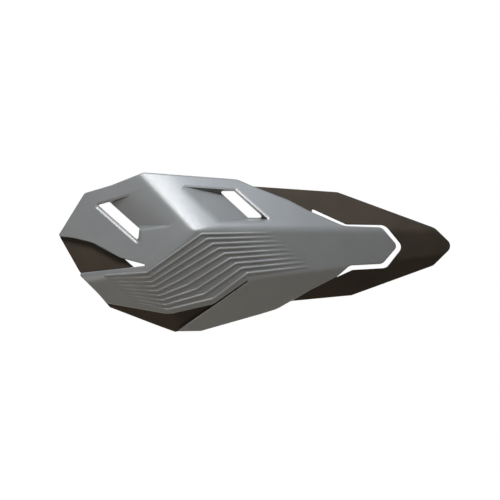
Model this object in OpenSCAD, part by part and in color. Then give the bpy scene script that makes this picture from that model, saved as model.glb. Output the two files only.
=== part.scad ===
// Motorcycle hand guard: a faceted grey cover shell with two scooped vents and nested ribs,
// screwed from behind to a black carrier shell whose tail wraps round the cover's tip.
// X points outboard along the handlebar, Y points back to the rider, Z points up.
// Outlines are drawn in the front view as [x, z, corner radius], measured from the nose,
// the foremost corner of the cover. The finished guard is moved so that its origin is the
// middle of the two bracket holes, on the faces that the bracket bolts against.

/* [Overall reach] */
// From the nose to the inboard tip
inboard_reach = 100; // [90:1:112]
// From the nose to the end of the tail
outboard_reach = 196; // [182:1:214]
// From the nose up to the highest corner
top_rise = 42; // [38:0.5:46]
// From the nose down to the lowest edge
bottom_drop = 76.5; // [72:0.5:84]

/* [Face angles] */
// Backward sweep of the outboard faces
outboard_sweep = 18; // [12:0.5:24]
// Backward lean of the top face
top_lean = 36; // [30:0.5:40]
// Forward lean of the ribbed band
band_lean = 4.5; // [2:0.5:8]
// Backward sweep of the cheek, the upper inboard face
cheek_sweep = 14; // [11:0.5:18]
// Backward lean of the cheek
cheek_lean = 13.5; // [10:0.5:16]
// How far the cheek lies behind the nose
cheek_set = 2; // [0.5:0.25:3]
// Outboard sweep of the band where it runs diagonally
middle_sweep = 9; // [6:0.5:12]
// Forward lean of the band where it runs diagonally
middle_lean = 15; // [12:0.5:18]
// Backward sweep of the heel, the inboard end of the band
heel_sweep = 8.5; // [6:0.5:12]
// Forward lean of the heel
heel_lean = 24; // [20:0.5:28]
// Sweep of the skirt below the band
skirt_sweep = 21; // [18:0.5:24]
// Forward lean of the skirt
skirt_lean = 30; // [27:0.5:34]
// Forward lean of the lip under the heel
lip_lean = 42; // [38:0.5:46]
// Backward sweep of the lip
lip_sweep = 13; // [9:0.5:16]

/* [Fold softness] */
// How far the ridge between cheek and top face is cut back
ridge_cut = 1.3; // [0.6:0.1:1.8]
// How much the ridge turns towards the cheek
ridge_turn = 0.35; // [0.25:0.05:0.5]
// How far the crisp folds are cut back
crisp_cut = 0.7; // [0.3:0.1:1.2]
// How far the soft folds are cut back
soft_cut = 1; // [0.5:0.1:1.6]

/* [Walls] */
// Thickness of the cover shell
cover_wall = 3; // [2.4:0.1:3.4]
// Thickness of the carrier shell
carrier_wall = 3; // [2.4:0.1:3.6]
// Gap between the two shells
shell_gap = 0.3; // [0.2:0.05:0.8]

/* [Ribs] */
// Number of nested ribs on the band
rib_count = 9; // [5:1:10]
// Width of a rib
rib_width = 2; // [1.2:0.1:2.6]
// Height of a rib
rib_height = 0.9; // [0.5:0.1:1.4]
// Length over which a rib fades out at each end
rib_fade = 24; // [14:1:32]

/* [Vents] */
// Depth of the cheek vent's floor at its window
cheek_vent_depth = 7; // [5:0.5:8]
// Depth of the top vent's floor at its window
top_vent_depth = 7.5; // [5:0.5:8.5]
// Thickness of the scooped floors and side walls
vent_wall = 2; // [1.6:0.1:2.6]

/* [Cover screws] */
// Diameter of the cover's screw bosses
boss_d = 8; // [7:0.5:9]
// How far behind the front face a boss ends
boss_reach = 15; // [14:0.5:18]
// Wall of the carrier's cups round the bosses
cup_wall = 2.2; // [1.6:0.1:3]
// Clearance between boss and cup
cup_clearance = 0.3; // [0.2:0.05:0.5]
// Thickness of the cup's floor, clamped under the screw head
cup_floor = 2.5; // [2:0.1:3.5]
// Core diameter of the self-tapping screw
screw_d = 3.4; // [2.8:0.1:3.8]
// Length of screw inside the boss
screw_bite = 8; // [6:0.5:9]
// Diameter of the screw's flange
flange_d = 9.4; // [8:0.2:11]
// Thickness of the screw's flange
flange_t = 1.1; // [0.8:0.1:1.6]
// Diameter of the screw's head above the flange
head_d = 6.6; // [5.6:0.1:7.4]
// Height of the head above the flange
head_h = 2.2; // [1.6:0.1:3]
// Width across flats of the screw's socket
socket_w = 3; // [2.5:0.1:3.5]
// Clearance round the screw in the boss
thread_clearance = 0.05; // [0.03:0.01:0.1]
// Clearance round the screw in the cup's floor
hole_clearance = 0.6; // [0.4:0.1:1]

/* [Bracket mount] */
// Distance between the two bracket holes
mount_spacing = 50; // [44:1:56]
// Distance of the hole line below the nose
mount_drop = 22; // [20:0.5:24]
// Distance of the first hole outboard of the nose
mount_start = 5; // [2:0.5:8]
// Plastic left in front of an insert's hole, which sets the depth of the bracket's faces
tower_skin = 2; // [1.5:0.1:4]
// Diameter of the mount towers
tower_d = 16; // [14:0.5:18]
// Tapping bore of the brass insert for an M6 bolt
insert_bore = 5; // [4.8:0.1:5.2]
// Barrel diameter of the insert
insert_d = 9; // [8:0.5:10]
// Length of the insert's barrel
insert_length = 11; // [9:0.5:12]
// Diameter of the insert's flange
insert_flange_d = 12; // [11:0.5:13]
// Thickness of the insert's flange
insert_flange_t = 1; // [0.8:0.1:1.5]
// Clearance round the insert's barrel
insert_clearance = 0.05; // [0.03:0.01:0.1]
// Depth of the grip grooves round the insert
groove_depth = 0.5; // [0.3:0.1:0.8]

/* [Carrier stiffeners] */
// Thickness of the stiffening webs behind the carrier
web_t = 2; // [1.6:0.1:2.6]
// Height of the stiffening webs
web_height = 6; // [4:0.5:7]

/* [Hidden] */
$fn = 48;
far = 400;
corner_steps = 5;

// Sizes at which the outlines were drawn; a changed reach stretches them
drawn_inboard = 100;
drawn_outboard = 196;
drawn_rise = 42;
drawn_drop = 76.5;

SCREWS = 6;
SCREW_NODES = [for (i = [1:SCREWS]) str("cover_screw_", i)];

// Drawing helpers: points are [x, z], an outline point may carry a corner radius
function stretched(p) = [
    p[0] * (p[0] < 0 ? inboard_reach / drawn_inboard : outboard_reach / drawn_outboard),
    p[1] * (p[1] < 0 ? bottom_drop / drawn_drop : top_rise / drawn_rise)
];
function unit(v) = v / norm(v);
function side(v) = [-v[1], v[0]];
function mix(a, b, t) = a + (b - a) * t;

// The corner p between a and b, rounded to radius r
function fillet(a, p, b, r) =
    let (
        u = unit(a - p),
        v = unit(b - p),
        opening = acos(u * v),
        turn = 180 - opening,
        middle = p + unit(u + v) * r / sin(opening / 2),
        from = p + u * r / tan(opening / 2) - middle,
        to = p + v * r / tan(opening / 2) - middle
    )
    [for (k = [0:corner_steps])
        let (t = k / corner_steps)
        middle + (from * sin((1 - t) * turn) + to * sin(t * turn)) / sin(turn)];

// A closed outline with its corners rounded
function outline(points) =
    let (n = len(points), flat = [for (p = points) stretched(p)])
    [for (i = [0:n - 1])
        let (p = flat[i], r = len(points[i]) > 2 ? points[i][2] : 0)
        each (r == 0 ? [p] : fillet(flat[(i + n - 1) % n], p, flat[(i + 1) % n], r))];

// The mitred step from a corner p, between a and b, to the outline moved sideways by 1
function mitre(a, p, b) =
    let (m = side(unit(p - a)) + side(unit(b - p)))
    2 * m / (m * m);

// A closed clockwise outline grown by d, or shrunk where d is negative
function grown(points, d) =
    let (n = len(points))
    [for (i = [0:n - 1]) points[i] + d * mitre(points[(i + n - 1) % n], points[i], points[(i + 1) % n])];

// A band of width w along an open path
function ribbon(path, w) =
    let (
        n = len(path),
        steps = [for (i = [0:n - 1])
            i == 0 ? side(unit(path[1] - path[0])) :
            i == n - 1 ? side(unit(path[n - 1] - path[n - 2])) :
            mitre(path[i - 1], path[i], path[i + 1])]
    )
    concat(
        [for (i = [0:n - 1]) path[i] + steps[i] * w / 2],
        [for (i = [n - 1:-1:0]) path[i] - steps[i] * w / 2]
    );

// Faces of the form: a face [a, b, c] has its depth at [x, z] as a x + b z + c
function depth(face, p) = face[0] * p[0] + face[1] * p[1] + face[2];
function steepness(face) = norm([face[0], 1, face[1]]);
function hinged(a, b, p, onto) = [a, b, depth(onto, p) - a * p[0] - b * p[1]];
function between(p, q, cut) = (p + q) / 2 + [0, 0, cut];
// A face that leaves another along the line through p and q and lies fall deeper at run from it
function sloped(face, p, q, fall, run) =
    let (g = side(unit(q - p)) * fall / run)
    [face[0] + g[0], face[1] + g[1], face[2] - g * p];

// How far cuts run on past what they cut
overcut = 1;
// Depth of the room in front of an insert's barrel
insert_room = 1;

heel_fold = stretched([-33, -33]);
skirt_fold = stretched([42, -38]);
lip_fold = stretched([-62, -55.5]);

top = [tan(outboard_sweep), tan(top_lean), 0];
band = [tan(outboard_sweep), -tan(band_lean), 0];
cheek = [-tan(cheek_sweep), tan(cheek_lean), cheek_set];
middle = [tan(middle_sweep), -tan(middle_lean), 0];
heel = hinged(-tan(heel_sweep), -tan(heel_lean), heel_fold, middle);
skirt = hinged(tan(skirt_sweep), -tan(skirt_lean), skirt_fold, middle);
lip = hinged(-tan(lip_sweep), -tan(lip_lean), lip_fold, heel);

MAIN_FACES = [top, band, cheek, middle, heel, skirt, lip];
FOLD_FACES = [
    mix(top, cheek, ridge_turn) + [0, 0, ridge_cut],
    between(top, band, crisp_cut),
    between(cheek, middle, crisp_cut),
    between(cheek, heel, crisp_cut),
    between(band, middle, soft_cut),
    between(middle, heel, soft_cut),
    between(band, skirt, crisp_cut),
    between(middle, skirt, soft_cut),
    between(heel, lip, crisp_cut),
    between(skirt, lip, soft_cut)
];
ALL_FACES = concat(MAIN_FACES, FOLD_FACES);
function front(p) = max([for (f = ALL_FACES) depth(f, p)]);

// The carrier's faces behind the cover's front, and the bracket towers. The outboard tower
// stands where the carrier is deepest, so the plastic in front of its insert sets the depth.
carrier_front = cover_wall + shell_gap;
carrier_back = carrier_front + carrier_wall;
TOWER_AT = [[mount_start, -mount_drop], [mount_start + mount_spacing, -mount_drop]];
carrier_depth = max([for (f = ALL_FACES) depth(f, TOWER_AT[1]) + carrier_front * steepness(f)]);
tower_face = carrier_depth + tower_skin + insert_room + insert_length;
mount_depth = tower_face + insert_flange_t;

// Everything behind a face, moved in by inset
module behind(face, inset = 0) {
    lean = asin(-face[1] / steepness(face));
    translate([0, face[2] + inset * steepness(face), 0])
        rotate([lean, 0, atan(face[0])])
            translate([-far, 0, -far])
                cube([2 * far, far, 2 * far]);
}

// The guard's convex faceted form, moved in by inset
module form(inset) {
    intersection_for(face = ALL_FACES) behind(face, inset);
}

// A layer of the form between two insets
module layer(outer, inner) {
    difference() {
        form(outer);
        form(inner);
    }
}

// A front-view outline pushed through the whole depth
module prism(points) {
    rotate([90, 0, 0])
        linear_extrude(height = far, center = true)
            polygon(points);
}

// A rod along Y at p, from y0 to y1
module rod(p, d, y0, y1) {
    translate([p[0], y1, p[1]])
        rotate([90, 0, 0])
            cylinder(d = d, h = y1 - y0);
}

// Moves the part from the nose to the middle of the bracket holes
module placed() {
    translate([-mount_start - mount_spacing / 2, -mount_depth, mount_drop]) children();
}

// Outlines of the two shells, clockwise from the apex as seen from the front
cover_outline = outline([
    [-35.7, 42, 3], [34, 37, 20], [46, 31.7, 20], [72.3, 21.5], [87, 13.8, 20], [113.5, 2.2, 20],
    [142, 1.2, 6], [154, -12.8, 4], [142.5, -26.2, 6], [118, -27.4, 6], [109, -35.3, 4],
    [88.8, -45.6, 30], [63.5, -59.9, 30], [51, -63.7, 30], [7, -76.1, 4], [-11.5, -76.4, 1],
    [12, -60.2], [42, -39.2], [41.2, -37.9], [15.5, -55.7, 10], [-14, -63, 4], [-20, -63, 4],
    [-62.2, -55.5, 2], [-84.5, -33, 1.5], [-52.5, -29.5, 20], [-34.4, -27.4], [-34.9, -26.4],
    [-53, -21.6, 12], [-73.5, -10.5, 12], [-86.5, -7.2, 6], [-99.5, -5.3, 1.2], [-79.8, 26.7, 5],
    [-60, 32.5, 20]
]);
carrier_outline = outline([
    [-35.7, 39, 3], [34, 33.5, 10], [47, 31.7], [109, 27.6, 8], [182, 0.8, 10],
    [196, -12.6, 5.5], [181, -27.4, 6], [119.5, -49.7, 5], [75, -53.8], [51, -60.5, 20], [7, -73, 6],
    [-12.3, -76.8, 1], [-26.8, -71.5, 12], [-60.8, -58.4, 3], [-83.5, -31.5, 6], [-98.3, -5.8, 1.5],
    [-78, 24.5, 5], [-60, 29.5, 20]
]);
// The window behind the cheek, whose lower inboard edge shows in the cover's notch
cheek_window = outline([
    [-77, 21.5, 3], [-44, 31.5, 3], [-10, 0.5, 3], [-24, -19, 3], [-31, -38.5, 3], [-66, -8.3, 3]
]);
// The window behind the top face's vent
top_window = outline([
    [-16.5, 33, 3], [35.5, 33, 3], [66, 5.5, 3], [62, 1, 3], [17, 1, 3]
]);
// The outboard window, whose edge leaves the slot round the cover's tip
tip_window = outline([
    [88.5, 15.5, 1], [115.5, 3.2, 6], [144.5, 2.8, 8], [157.8, -13.4, 5], [145.5, -29.2, 6],
    [120, -30.6, 6], [108.5, -35.9, 1], [98, -28, 4], [98, -4, 4]
]);

// Vents: [face, recess outline, window outline, two ends of the flush edge, run to the window]
cheek_recess = [[-71.5, 17.6, 1.5], [-44, 25.4, 2], [-17.5, 2.6, 3], [-38.7, -0.4, 1], [-39, -10.8, 1]];
cheek_opening = outline([[-69.6, 17.8, 0.8], [-61, 19.9, 0.8], [-38.8, 0.2, 0.8], [-39.8, -8.4, 0.8]]);
cheek_flush = [stretched([-17.5, 2.6]), stretched([-44, 25.4])];
cheek_run = 15.5;
top_recess = [[-9.2, 31.6, 2], [32.4, 29, 1], [57.2, 7.2, 1], [54.5, 5.8, 1], [19.6, 5.8, 2]];
top_opening = outline([[20.6, 28.1, 1], [31.6, 28.1, 1], [53.4, 8.4, 1], [42, 8.4, 1]]);
top_flush = [stretched([-9.2, 31.6]), stretched([19.6, 5.8])];
top_run = 17;
// The floors start a little in front of the face, so that they run out inside the recess
flush_lead = [0, 0, -0.4];
cheek_floor = sloped(cheek, cheek_flush[0], cheek_flush[1], cheek_vent_depth, cheek_run) + flush_lead;
top_floor = sloped(top, top_flush[0], top_flush[1], top_vent_depth, top_run) + flush_lead;

// The wall of a scoop: what lies in front of its floor's back face, inside the grown recess,
// and no deeper than the scoop is at its window
module scoop_wall(recess, floor, scoop_depth) {
    difference() {
        intersection() {
            form(cover_wall / 2);
            prism(grown([for (p = recess) stretched(p)], vent_wall));
        }
        behind(floor, vent_wall);
        form(scoop_depth + vent_wall);
    }
}

// What a scoop takes away: the space in front of its floor, and its window
module scoop_space(recess, opening, floor) {
    difference() {
        prism(outline(recess));
        behind(floor);
    }
    prism(opening);
}

// Ribs: the first and last one are drawn, and those between are mixed from them
first_rib = [[59, -3.2], [7.7, -4.1], [-32.8, -32.8], [-63.4, -34.7]];
last_rib = [[88.5, -28.1], [41.8, -33.2], [-17.4, -60.3], [-41.8, -55.3]];
belly_drop = 7.4;
belly_start = 0.4;
belly_at = 0.1;
belly_travel = 0.47;
function rib_path(t) =
    let (
        p = [for (i = [0:3]) stretched(mix(first_rib[i], last_rib[i], t))],
        belly = mix(p[2], p[1], belly_at + belly_travel * t) - [0, belly_drop * (t - belly_start) / (1 - belly_start)]
    )
    t > belly_start ? [p[0], p[1], belly, p[2], p[3]] : p;
// A rib's top dips under the face just before the rib's end
rib_end = 0.04;
function rib_tip(rib, end, next) = stretched(mix(rib[end], rib[next], rib_end));
outboard_fade =
    sloped(band, rib_tip(last_rib, 0, 1), rib_tip(first_rib, 0, 1), -rib_height, rib_fade);
inboard_fade =
    sloped(heel, rib_tip(first_rib, 3, 2), rib_tip(last_rib, 3, 2), -rib_height, rib_fade);

module ribs() {
    intersection() {
        difference() {
            form(-rib_height);
            form(cover_wall / 2);
        }
        behind(outboard_fade);
        behind(inboard_fade);
        union() {
            for (i = [0:rib_count - 1])
                prism(ribbon(rib_path(i / (rib_count - 1)), rib_width));
        }
    }
}

// Screw places, in the front view
SCREW_AT = [for (p = [[-82, 4], [-30, 32], [68, 11], [84, -13], [44, -55], [-60, -44]]) stretched(p)];
function boss_end(p) = front(p) + boss_reach;

// Grey moulded cover with its scooped vents, ribs and screw bosses
module cover_shell() {
    color("gray") placed()
        difference() {
            union() {
                intersection() {
                    layer(0, cover_wall);
                    prism(cover_outline);
                }
                scoop_wall(cheek_recess, cheek_floor, cheek_vent_depth);
                scoop_wall(top_recess, top_floor, top_vent_depth);
                ribs();
                intersection() {
                    form(cover_wall / 2);
                    union() {
                        for (p = SCREW_AT) rod(p, boss_d, front(p) - boss_d, boss_end(p));
                    }
                }
            }
            scoop_space(cheek_recess, cheek_opening, cheek_floor);
            scoop_space(top_recess, top_opening, top_floor);
            for (p = SCREW_AT)
                rod(p, screw_d + 2 * thread_clearance, boss_end(p) - screw_bite - overcut, boss_end(p) + overcut);
        }
}

// Webs that stiffen the bracket towers
WEBS = [
    [TOWER_AT[0], TOWER_AT[1]],
    [TOWER_AT[0], SCREW_AT[5]],
    [TOWER_AT[0], stretched([8, -62])],
    [TOWER_AT[1], SCREW_AT[4]],
    [TOWER_AT[1], SCREW_AT[3]]
];

// Black carrier shell with its tail, windows, cups for the bosses and bracket towers
module carrier_shell() {
    color("dimgray") placed()
        difference() {
            union() {
                intersection() {
                    layer(carrier_front, carrier_back);
                    difference() {
                        prism(carrier_outline);
                        prism(cheek_window);
                        prism(top_window);
                        prism(tip_window);
                    }
                }
                intersection() {
                    layer(carrier_front + carrier_wall / 2, carrier_back + web_height);
                    union() {
                        for (w = WEBS) prism(ribbon(w, web_t));
                    }
                }
                intersection() {
                    form(carrier_front);
                    union() {
                        for (p = SCREW_AT)
                            rod(p, boss_d + 2 * (cup_clearance + cup_wall), 0, boss_end(p) + cup_floor);
                        for (p = TOWER_AT) rod(p, tower_d, 0, tower_face);
                    }
                }
            }
            for (p = SCREW_AT) {
                rod(p, boss_d + 2 * cup_clearance, front(p) - boss_d, boss_end(p));
                rod(p, screw_d + 2 * hole_clearance, boss_end(p) - overcut, boss_end(p) + cup_floor + overcut);
                rod(p, flange_d + 2 * hole_clearance, boss_end(p) + cup_floor, boss_end(p) + cup_floor + far);
            }
            for (p = TOWER_AT)
                rod(p, insert_d + 2 * insert_clearance, tower_face - insert_length - insert_room, tower_face + overcut);
        }
}

// Self-tapping flange screw at a cover boss, with its head on the carrier's cup
module cover_screw(i) {
    p = SCREW_AT[i - 1];
    seat = boss_end(p) + cup_floor;
    color("silver") placed()
        difference() {
            union() {
                rod(p, screw_d, boss_end(p) - screw_bite, seat + flange_t / 2);
                rod(p, flange_d, seat, seat + flange_t);
                rod(p, head_d, seat + flange_t / 2, seat + flange_t + head_h);
            }
            translate([p[0], seat + flange_t + head_h + overcut, p[1]])
                rotate([90, 0, 0])
                    cylinder(d = socket_w / cos(30), h = head_h + overcut, $fn = 6);
        }
}

// Threaded brass insert with a flange and two grip grooves, for one bracket bolt
module mount_insert(p) {
    groove_w = insert_length / 6;
    color("goldenrod") placed()
        difference() {
            union() {
                rod(p, insert_d, tower_face - insert_length, tower_face + insert_flange_t / 2);
                rod(p, insert_flange_d, tower_face, mount_depth);
            }
            rod(p, insert_bore, tower_face - insert_length - overcut, mount_depth + overcut);
            for (k = [1, 3])
                difference() {
                    rod(p, insert_d + overcut, tower_face - (k + 1.5) * groove_w, tower_face - (k + 0.5) * groove_w);
                    rod(p, insert_d - 2 * groove_depth, tower_face - insert_length, tower_face);
                }
        }
}
module mount_insert_inner() { mount_insert(TOWER_AT[0]); }
module mount_insert_outer() { mount_insert(TOWER_AT[1]); }

cover_shell();
carrier_shell();
for (i = [1:SCREWS])
    cover_screw(i);
mount_insert_inner();
mount_insert_outer();
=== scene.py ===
import math

import bpy
import numpy as np
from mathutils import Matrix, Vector, geometry


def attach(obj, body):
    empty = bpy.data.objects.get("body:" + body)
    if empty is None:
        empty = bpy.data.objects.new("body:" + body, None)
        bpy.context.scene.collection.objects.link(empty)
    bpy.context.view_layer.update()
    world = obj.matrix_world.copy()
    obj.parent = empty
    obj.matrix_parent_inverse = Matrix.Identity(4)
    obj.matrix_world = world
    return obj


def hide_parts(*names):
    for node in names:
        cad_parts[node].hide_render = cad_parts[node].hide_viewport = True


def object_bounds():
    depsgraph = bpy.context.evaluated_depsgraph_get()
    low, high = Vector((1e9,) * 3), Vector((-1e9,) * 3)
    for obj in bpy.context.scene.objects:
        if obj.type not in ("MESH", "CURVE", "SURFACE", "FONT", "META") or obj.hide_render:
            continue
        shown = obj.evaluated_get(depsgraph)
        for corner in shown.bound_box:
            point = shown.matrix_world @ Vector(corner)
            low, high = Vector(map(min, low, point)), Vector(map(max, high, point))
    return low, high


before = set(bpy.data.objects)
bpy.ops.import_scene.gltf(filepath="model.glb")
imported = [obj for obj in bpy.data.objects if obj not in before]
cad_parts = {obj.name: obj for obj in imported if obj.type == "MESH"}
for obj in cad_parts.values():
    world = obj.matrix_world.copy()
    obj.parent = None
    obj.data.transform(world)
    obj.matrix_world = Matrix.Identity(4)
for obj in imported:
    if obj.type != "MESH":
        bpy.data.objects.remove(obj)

CAD_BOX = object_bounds()


def plain(box):
    """A box as plain lists of numbers."""
    return [[float(v) for v in corner] for corner in box]


# Shapes are worked out in millimetres in the nose frame of the part's source: x outboard,
# z up, depth backwards, measured from the nose. mounted() turns them into metres in the row.
MM = 0.001
# Keeps a division by nothing from failing
TINY = 1e-9
MOUNT_START, MOUNT_SPACING, MOUNT_DROP = 5.0, 50.0, 22.0
INSERT_LENGTH, INSERT_FLANGE, INSERT_ROOM, TOWER_SKIN = 11.0, 1.0, 1.0, 2.0

COVER_WALL, CARRIER_WALL, SHELL_GAP, VENT_WALL = 3.0, 3.0, 0.3, 2.0
CARRIER_FRONT = COVER_WALL + SHELL_GAP
CARRIER_BACK = CARRIER_FRONT + CARRIER_WALL


def tan(degrees):
    return math.tan(math.radians(degrees))


def vec(*v):
    return np.array(v, float)


def unit(v):
    return v / np.linalg.norm(v)


def side(v):
    return vec(-v[1], v[0])


def depth(face, p):
    """Depth of a face at the points p."""
    return face[0] * p[..., 0] + face[1] * p[..., 1] + face[2]


def steepness(face):
    """How much depth a wall of thickness 1 on the face takes up."""
    return math.sqrt(1 + face[0] ** 2 + face[1] ** 2)


def hinged(a, b, p, onto):
    """A face with the slopes a and b that meets another at the point p."""
    return vec(a, b, depth(onto, vec(*p)) - a * p[0] - b * p[1])


def sloped(face, p, q, fall, run, lead=0.0):
    """A face that leaves another along the line p q and lies fall deeper at run from it."""
    p, q = vec(*p), vec(*q)
    g = side(unit(q - p)) * fall / run
    return vec(face[0] + g[0], face[1] + g[1], face[2] - g @ p + lead)


def smooth(t):
    """An even ease from 0 to 1."""
    return t * t * (3 - 2 * t)


# Faces: slope outboard, slope up and depth at the nose
TOP = vec(tan(18), tan(36), 0)
BAND = vec(tan(18), -tan(4.5), 0)
CHEEK = vec(-tan(14), tan(13.5), 2)
MIDDLE = vec(tan(9), -tan(15), 0)
HEEL = hinged(-tan(8.5), -tan(24), (-33, -33), MIDDLE)
SKIRT = hinged(tan(21), -tan(30), (42, -38), MIDDLE)
LIP = hinged(-tan(13), -tan(42), (-62, -55.5), HEEL)
OUTER_TOWER = vec(MOUNT_START + MOUNT_SPACING, -MOUNT_DROP)
TOWER_FACE = (depth(BAND, OUTER_TOWER) + CARRIER_FRONT * steepness(BAND) + TOWER_SKIN
              + INSERT_ROOM + INSERT_LENGTH)
MOUNT_DEPTH = TOWER_FACE + INSERT_FLANGE

# The ridge lies between the cheek and the top, set back and turned a little
CHEEK_SHARE, TOP_SHARE, RIDGE_SET_BACK = 0.35, 0.65, vec(0, 0, 1.3)
RIDGE_TURN = 0.026 * vec(-0.647, 0.763, 0)
RIDGE = CHEEK_SHARE * CHEEK + TOP_SHARE * TOP + RIDGE_SET_BACK + RIDGE_TURN
FOLD_SET_BACK = vec(0, 0, 0.7)
TOP_FOLD = (TOP + BAND) / 2 + FOLD_SET_BACK
CHEEK_FOLD = (CHEEK + MIDDLE) / 2 + FOLD_SET_BACK
HEEL_FOLD = (CHEEK + HEEL) / 2 + FOLD_SET_BACK
RIDGE_SOFT, CHEEK_SOFT, BAND_SOFT, FOLD_SOFT = 1.2, 0.6, 1.0, 0.3


def soft_max(k, *values):
    """The largest of the values, rounded over about k where two of them meet."""
    high = np.maximum.reduce(values)
    return high + k * np.log(sum(np.exp((v - high) / k) for v in values))


def rise(v, k):
    """Smooth max(v, 0)."""
    return k * np.logaddexp(0, v / k)


def form(p, inset=0.0):
    """Depth of the faceted form at the points p, moved in by inset, with its folds rounded."""
    def d(face):
        return depth(face, p) + inset * steepness(face)
    upper = soft_max(RIDGE_SOFT, d(TOP), soft_max(CHEEK_SOFT, d(RIDGE), d(CHEEK)))
    lower = soft_max(BAND_SOFT, d(BAND), d(MIDDLE), d(HEEL))
    return soft_max(FOLD_SOFT, upper, lower, d(SKIRT), d(LIP), d(TOP_FOLD), d(CHEEK_FOLD), d(HEEL_FOLD))


# Outlines: closed lists of points, clockwise in the front view


def fillet(a, p, b, r, steps=8):
    """Points along the rounding of the corner p between a and b."""
    u, v = unit(a - p), unit(b - p)
    opening = math.acos(max(-1, min(1, float(u @ v))))
    turn = math.pi - opening
    middle = p + unit(u + v) * r / math.sin(opening / 2)
    start = p + u * r / math.tan(opening / 2) - middle
    end = p + v * r / math.tan(opening / 2) - middle
    return [middle + (start * math.sin((1 - t) * turn) + end * math.sin(t * turn)) / math.sin(turn)
            for t in (k / steps for k in range(steps + 1))]


def outline(points, step=0.9):
    """A closed outline with rounded corners, cut into steps no longer than step."""
    flat = [vec(p[0], p[1]) for p in points]
    n = len(flat)
    corners = []
    for i, p in enumerate(flat):
        r = points[i][2] if len(points[i]) > 2 else 0
        corners += [p] if r == 0 else fillet(flat[i - 1], p, flat[(i + 1) % n], r)
    return resampled(np.array(corners), step, True)


def resampled(points, step, closed):
    """A path cut into even steps no longer than step, with its corners kept."""
    out = []
    n = len(points)
    for i in range(n if closed else n - 1):
        a, b = points[i], points[(i + 1) % n]
        cuts = max(1, math.ceil(np.linalg.norm(b - a) / step))
        out += [a + (b - a) * k / cuts for k in range(cuts)]
    if not closed:
        out.append(points[-1])
    return np.array(out)


def mitres(path, closed):
    """The sideways step at each point of a path."""
    n = len(path)
    before = np.roll(path, 1, 0) if closed else np.vstack([path[:1] * 2 - path[1:2], path[:-1]])
    after = np.roll(path, -1, 0) if closed else np.vstack([path[1:], path[-1:] * 2 - path[-2:-1]])
    def turned(v):
        v = v / np.linalg.norm(v, axis=1)[:, None]
        return np.stack([-v[:, 1], v[:, 0]], 1)
    m = turned(path - before) + turned(after - path)
    return 2 * m / (m * m).sum(1)[:, None]


def distance(p, path, closed, reach):
    """Distance from each point to a path, up to reach."""
    order = np.argsort(p[:, 0])
    x, z = p[order, 0], p[order, 1]
    best = np.full(len(p), reach)
    ends = np.roll(path, -1, 0) if closed else path[1:]
    starts = path[:len(ends)]
    first = np.searchsorted(x, np.minimum(starts[:, 0], ends[:, 0]) - reach)
    last = np.searchsorted(x, np.maximum(starts[:, 0], ends[:, 0]) + reach)
    for a, b, i, j in zip(starts, ends, first, last):
        if i == j:
            continue
        ab = b - a
        dx, dz = x[i:j] - a[0], z[i:j] - a[1]
        t = np.clip((dx * ab[0] + dz * ab[1]) / (ab @ ab), 0, 1)
        d = np.hypot(dx - t * ab[0], dz - t * ab[1])
        np.minimum(best[i:j], d, out=best[i:j])
    out = np.empty(len(p))
    out[order] = best
    return out


def inside(p, loop):
    """Whether each point is inside a loop, by the crossings of a line through it."""
    order = np.argsort(p[:, 1])
    x, z = p[order, 0], p[order, 1]
    odd = np.zeros(len(p), bool)
    ends = np.roll(loop, -1, 0)
    first = np.searchsorted(z, np.minimum(loop[:, 1], ends[:, 1]))
    last = np.searchsorted(z, np.maximum(loop[:, 1], ends[:, 1]))
    for a, b, i, j in zip(loop, ends, first, last):
        if i < j:
            odd[i:j] ^= x[i:j] < a[0] + (z[i:j] - a[1]) / (b[1] - a[1]) * (b[0] - a[0])
    out = np.empty(len(p), bool)
    out[order] = odd
    return out


def signed(p, loop, reach):
    """Distance to a loop up to reach, positive inside it."""
    d = -distance(p, loop, True, reach)
    low, high = loop.min(0), loop.max(0)
    near = np.nonzero(((p > low) & (p < high)).all(1))[0]
    held = near[inside(p[near], loop)]
    d[held] *= -1
    return d


def nearest(p, loops, reach):
    """Distance from each point to the nearest of some loops, up to reach."""
    return np.minimum.reduce([distance(p, loop, True, reach) for loop in loops])


def within(p, loops):
    """Whether each point is inside the first loop and outside the others."""
    keep = inside(p, loops[0])
    for loop in loops[1:]:
        keep &= ~inside(p, loop)
    return keep


OVERRUN = 20


def edge_drop(d, r):
    """How far an edge of radius r has fallen back at distance d from it."""
    inner = np.clip(r - d, 0, r)
    return r - np.sqrt(np.maximum(r * r - inner * inner, 0)) + OVERRUN * np.maximum(-d, 0)


COVER_OUTLINE = outline([
    [-35.7, 42, 3], [34, 37, 20], [46, 31.7, 20], [72.3, 21.5], [87, 13.8, 20], [113.5, 2.2, 20],
    [142, 1.2, 6], [154, -12.8, 4], [142.5, -26.2, 6], [118, -27.4, 6], [109, -35.3, 4],
    [88.8, -45.6, 30], [63.5, -59.9, 30], [51, -63.7, 30], [7, -76.1, 4], [-11.5, -76.4, 1],
    [12, -60.2], [42, -39.2], [41.6, -38.6], [16.2, -56.2, 10], [-14, -63, 4], [-20, -63, 4],
    [-62.2, -55.5, 2], [-84.5, -33, 1.5], [-52.5, -29.5, 20], [-34.4, -27.4], [-34.9, -26.4],
    [-53, -21.6, 12], [-73.5, -10.5, 12], [-86.5, -7.2, 6], [-99.5, -5.3, 1.2], [-79.8, 26.7, 5],
    [-60, 32.5, 20]])
CARRIER_OUTLINE = outline([
    [-35.7, 39, 3], [34, 33.5, 10], [47, 31.7], [109, 27.6, 8], [182, 0.8, 10],
    [196, -12.6, 5.5], [181, -27.4, 6], [119.5, -49.7, 5], [75, -53.8], [51, -60.5, 20],
    [7, -73, 6], [-12.3, -76.8, 1], [-26.8, -71.5, 12], [-60.8, -58.4, 3], [-83.5, -31.5, 6],
    [-98.3, -5.8, 1.5], [-78, 24.5, 5], [-60, 29.5, 20]])
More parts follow.
